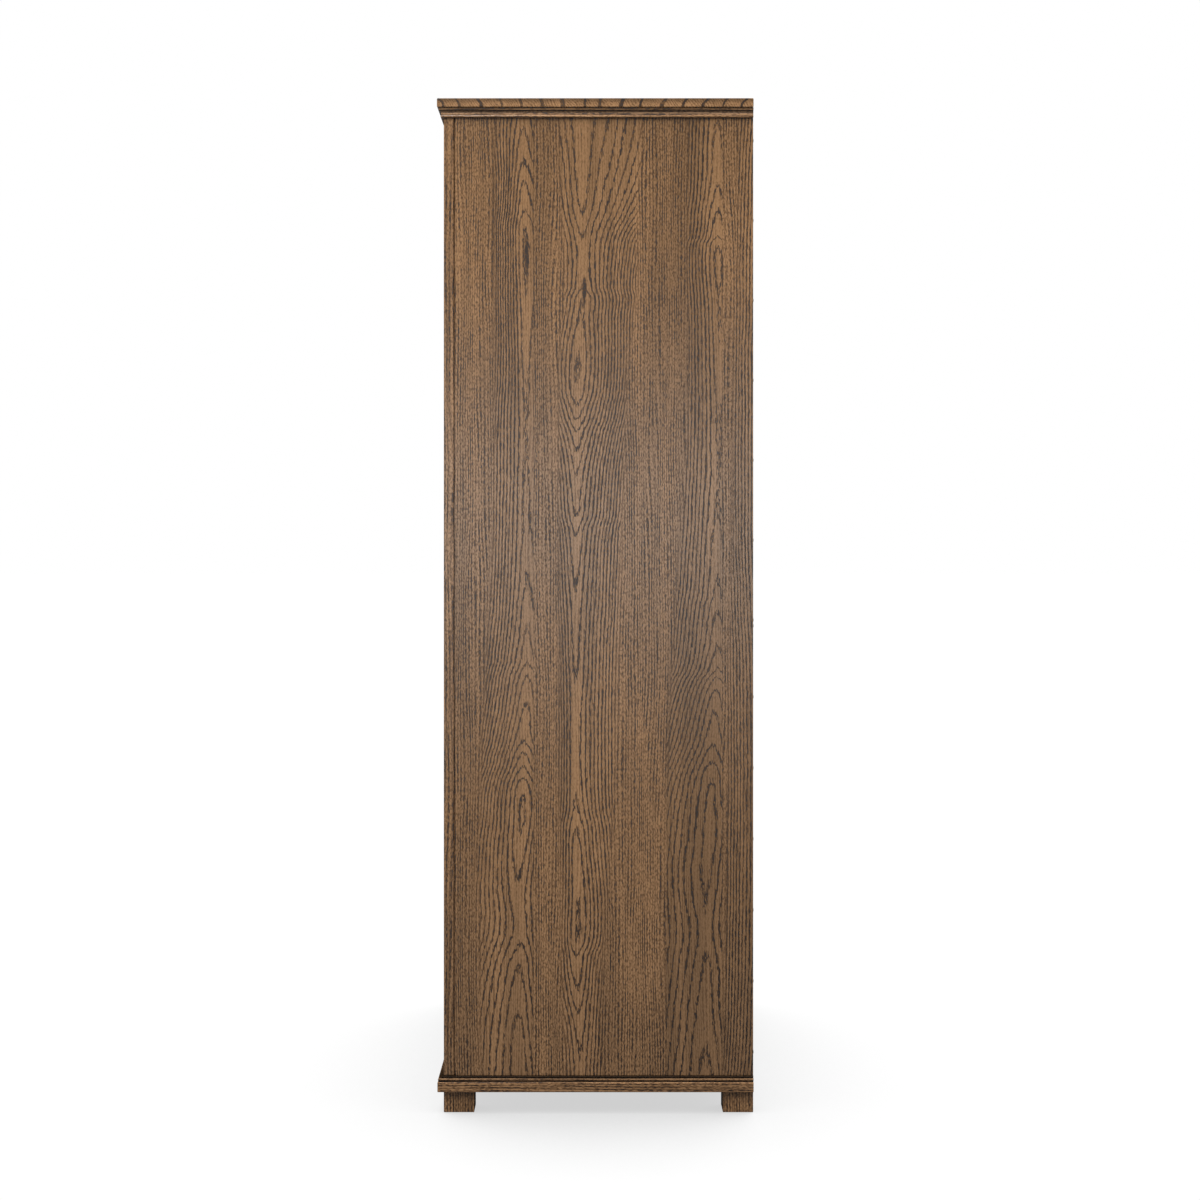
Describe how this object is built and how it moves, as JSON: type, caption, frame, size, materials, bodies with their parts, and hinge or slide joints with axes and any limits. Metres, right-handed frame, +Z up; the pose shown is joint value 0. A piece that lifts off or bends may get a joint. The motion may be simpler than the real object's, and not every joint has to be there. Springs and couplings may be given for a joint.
{
  "type": "tall cabinet",
  "caption": "Tall cupboard with inset raised-panel doors on butt hinges, inner shelves, a slab top over a cove moulding, and a moulded base on square feet.",
  "frame": {"origin": "on the floor, under the middle of the overall box, knobs included", "axes": "+Z up, -Y out of the doors' fronts, +X to the right for someone who faces the doors"},
  "size_m": [1.1, 0.65, 2.03],
  "materials": {
    "smoked_oak": "smoked oak, oiled, satin",
    "smoked_oak_foot": "smoked oak, darker and more worn, matt",
    "smoked_oak_inside": "smoked oak, thinly oiled, matt",
    "aged_brass": "aged, satin",
    "catch_shell": "matt dark brown"
  },
  "bodies": {
    "cabinet": {"side_left": "smoked_oak", "side_right": "smoked_oak", "frame_stile_left": "smoked_oak", "frame_stile_right": "smoked_oak", "frame_rail_bottom": "smoked_oak", "frame_rail_top": "smoked_oak", "top_slab": "smoked_oak", "cornice_front": "smoked_oak", "cornice_left": "smoked_oak", "cornice_right": "smoked_oak", "base_front": "smoked_oak", "base_left": "smoked_oak", "base_right": "smoked_oak", "foot_front_left": "smoked_oak_foot", "foot_front_right": "smoked_oak_foot", "foot_rear_left": "smoked_oak_foot", "foot_rear_right": "smoked_oak_foot", "base_rear": "smoked_oak_foot", "top_panel": "smoked_oak_inside", "bottom_panel": "smoked_oak_inside", "back_lower": "smoked_oak_inside", "back_upper": "smoked_oak_inside", "shelf_fixed": "smoked_oak_inside", "shelf_lower": "smoked_oak_inside", "shelf_upper": "smoked_oak_inside", "cleat_lower_left": "smoked_oak_inside", "cleat_lower_right": "smoked_oak_inside", "cleat_upper_left": "smoked_oak_inside", "cleat_upper_right": "smoked_oak_inside", "hinge_left_low_frame_leaf": "aged_brass", "hinge_left_middle_frame_leaf": "aged_brass", "hinge_left_high_frame_leaf": "aged_brass", "hinge_right_low_frame_leaf": "aged_brass", "hinge_right_middle_frame_leaf": "aged_brass", "hinge_right_high_frame_leaf": "aged_brass", "catch_left": "catch_shell", "catch_right": "catch_shell"},
    "door_left": {"door_left_stile_hinge": "smoked_oak", "door_left_stile_meeting": "smoked_oak", "door_left_rail_bottom": "smoked_oak", "door_left_rail_middle": "smoked_oak", "door_left_rail_top": "smoked_oak", "door_left_panel_lower": "smoked_oak", "door_left_panel_upper": "smoked_oak", "hinge_left_low_door_leaf": "aged_brass", "hinge_left_middle_door_leaf": "aged_brass", "hinge_left_high_door_leaf": "aged_brass", "knob_left": "aged_brass"},
    "door_right": {"door_right_stile_hinge": "smoked_oak", "door_right_stile_meeting": "smoked_oak", "door_right_rail_bottom": "smoked_oak", "door_right_rail_middle": "smoked_oak", "door_right_rail_top": "smoked_oak", "door_right_panel_lower": "smoked_oak", "door_right_panel_upper": "smoked_oak", "hinge_right_low_door_leaf": "aged_brass", "hinge_right_middle_door_leaf": "aged_brass", "hinge_right_high_door_leaf": "aged_brass", "knob_right": "aged_brass"}
  },
  "joints": [
    {"name": "door_left_hinge", "type": "hinge", "parent": "cabinet", "child": "door_left", "pos_m": [-0.48075, -0.295, 1.0335], "axis": [0, 0, -1], "range_deg": [0, 170]},
    {"name": "door_right_hinge", "type": "hinge", "parent": "cabinet", "child": "door_right", "pos_m": [0.48075, -0.295, 1.0335], "axis": [0, 0, 1], "range_deg": [0, 170]}
  ]
}
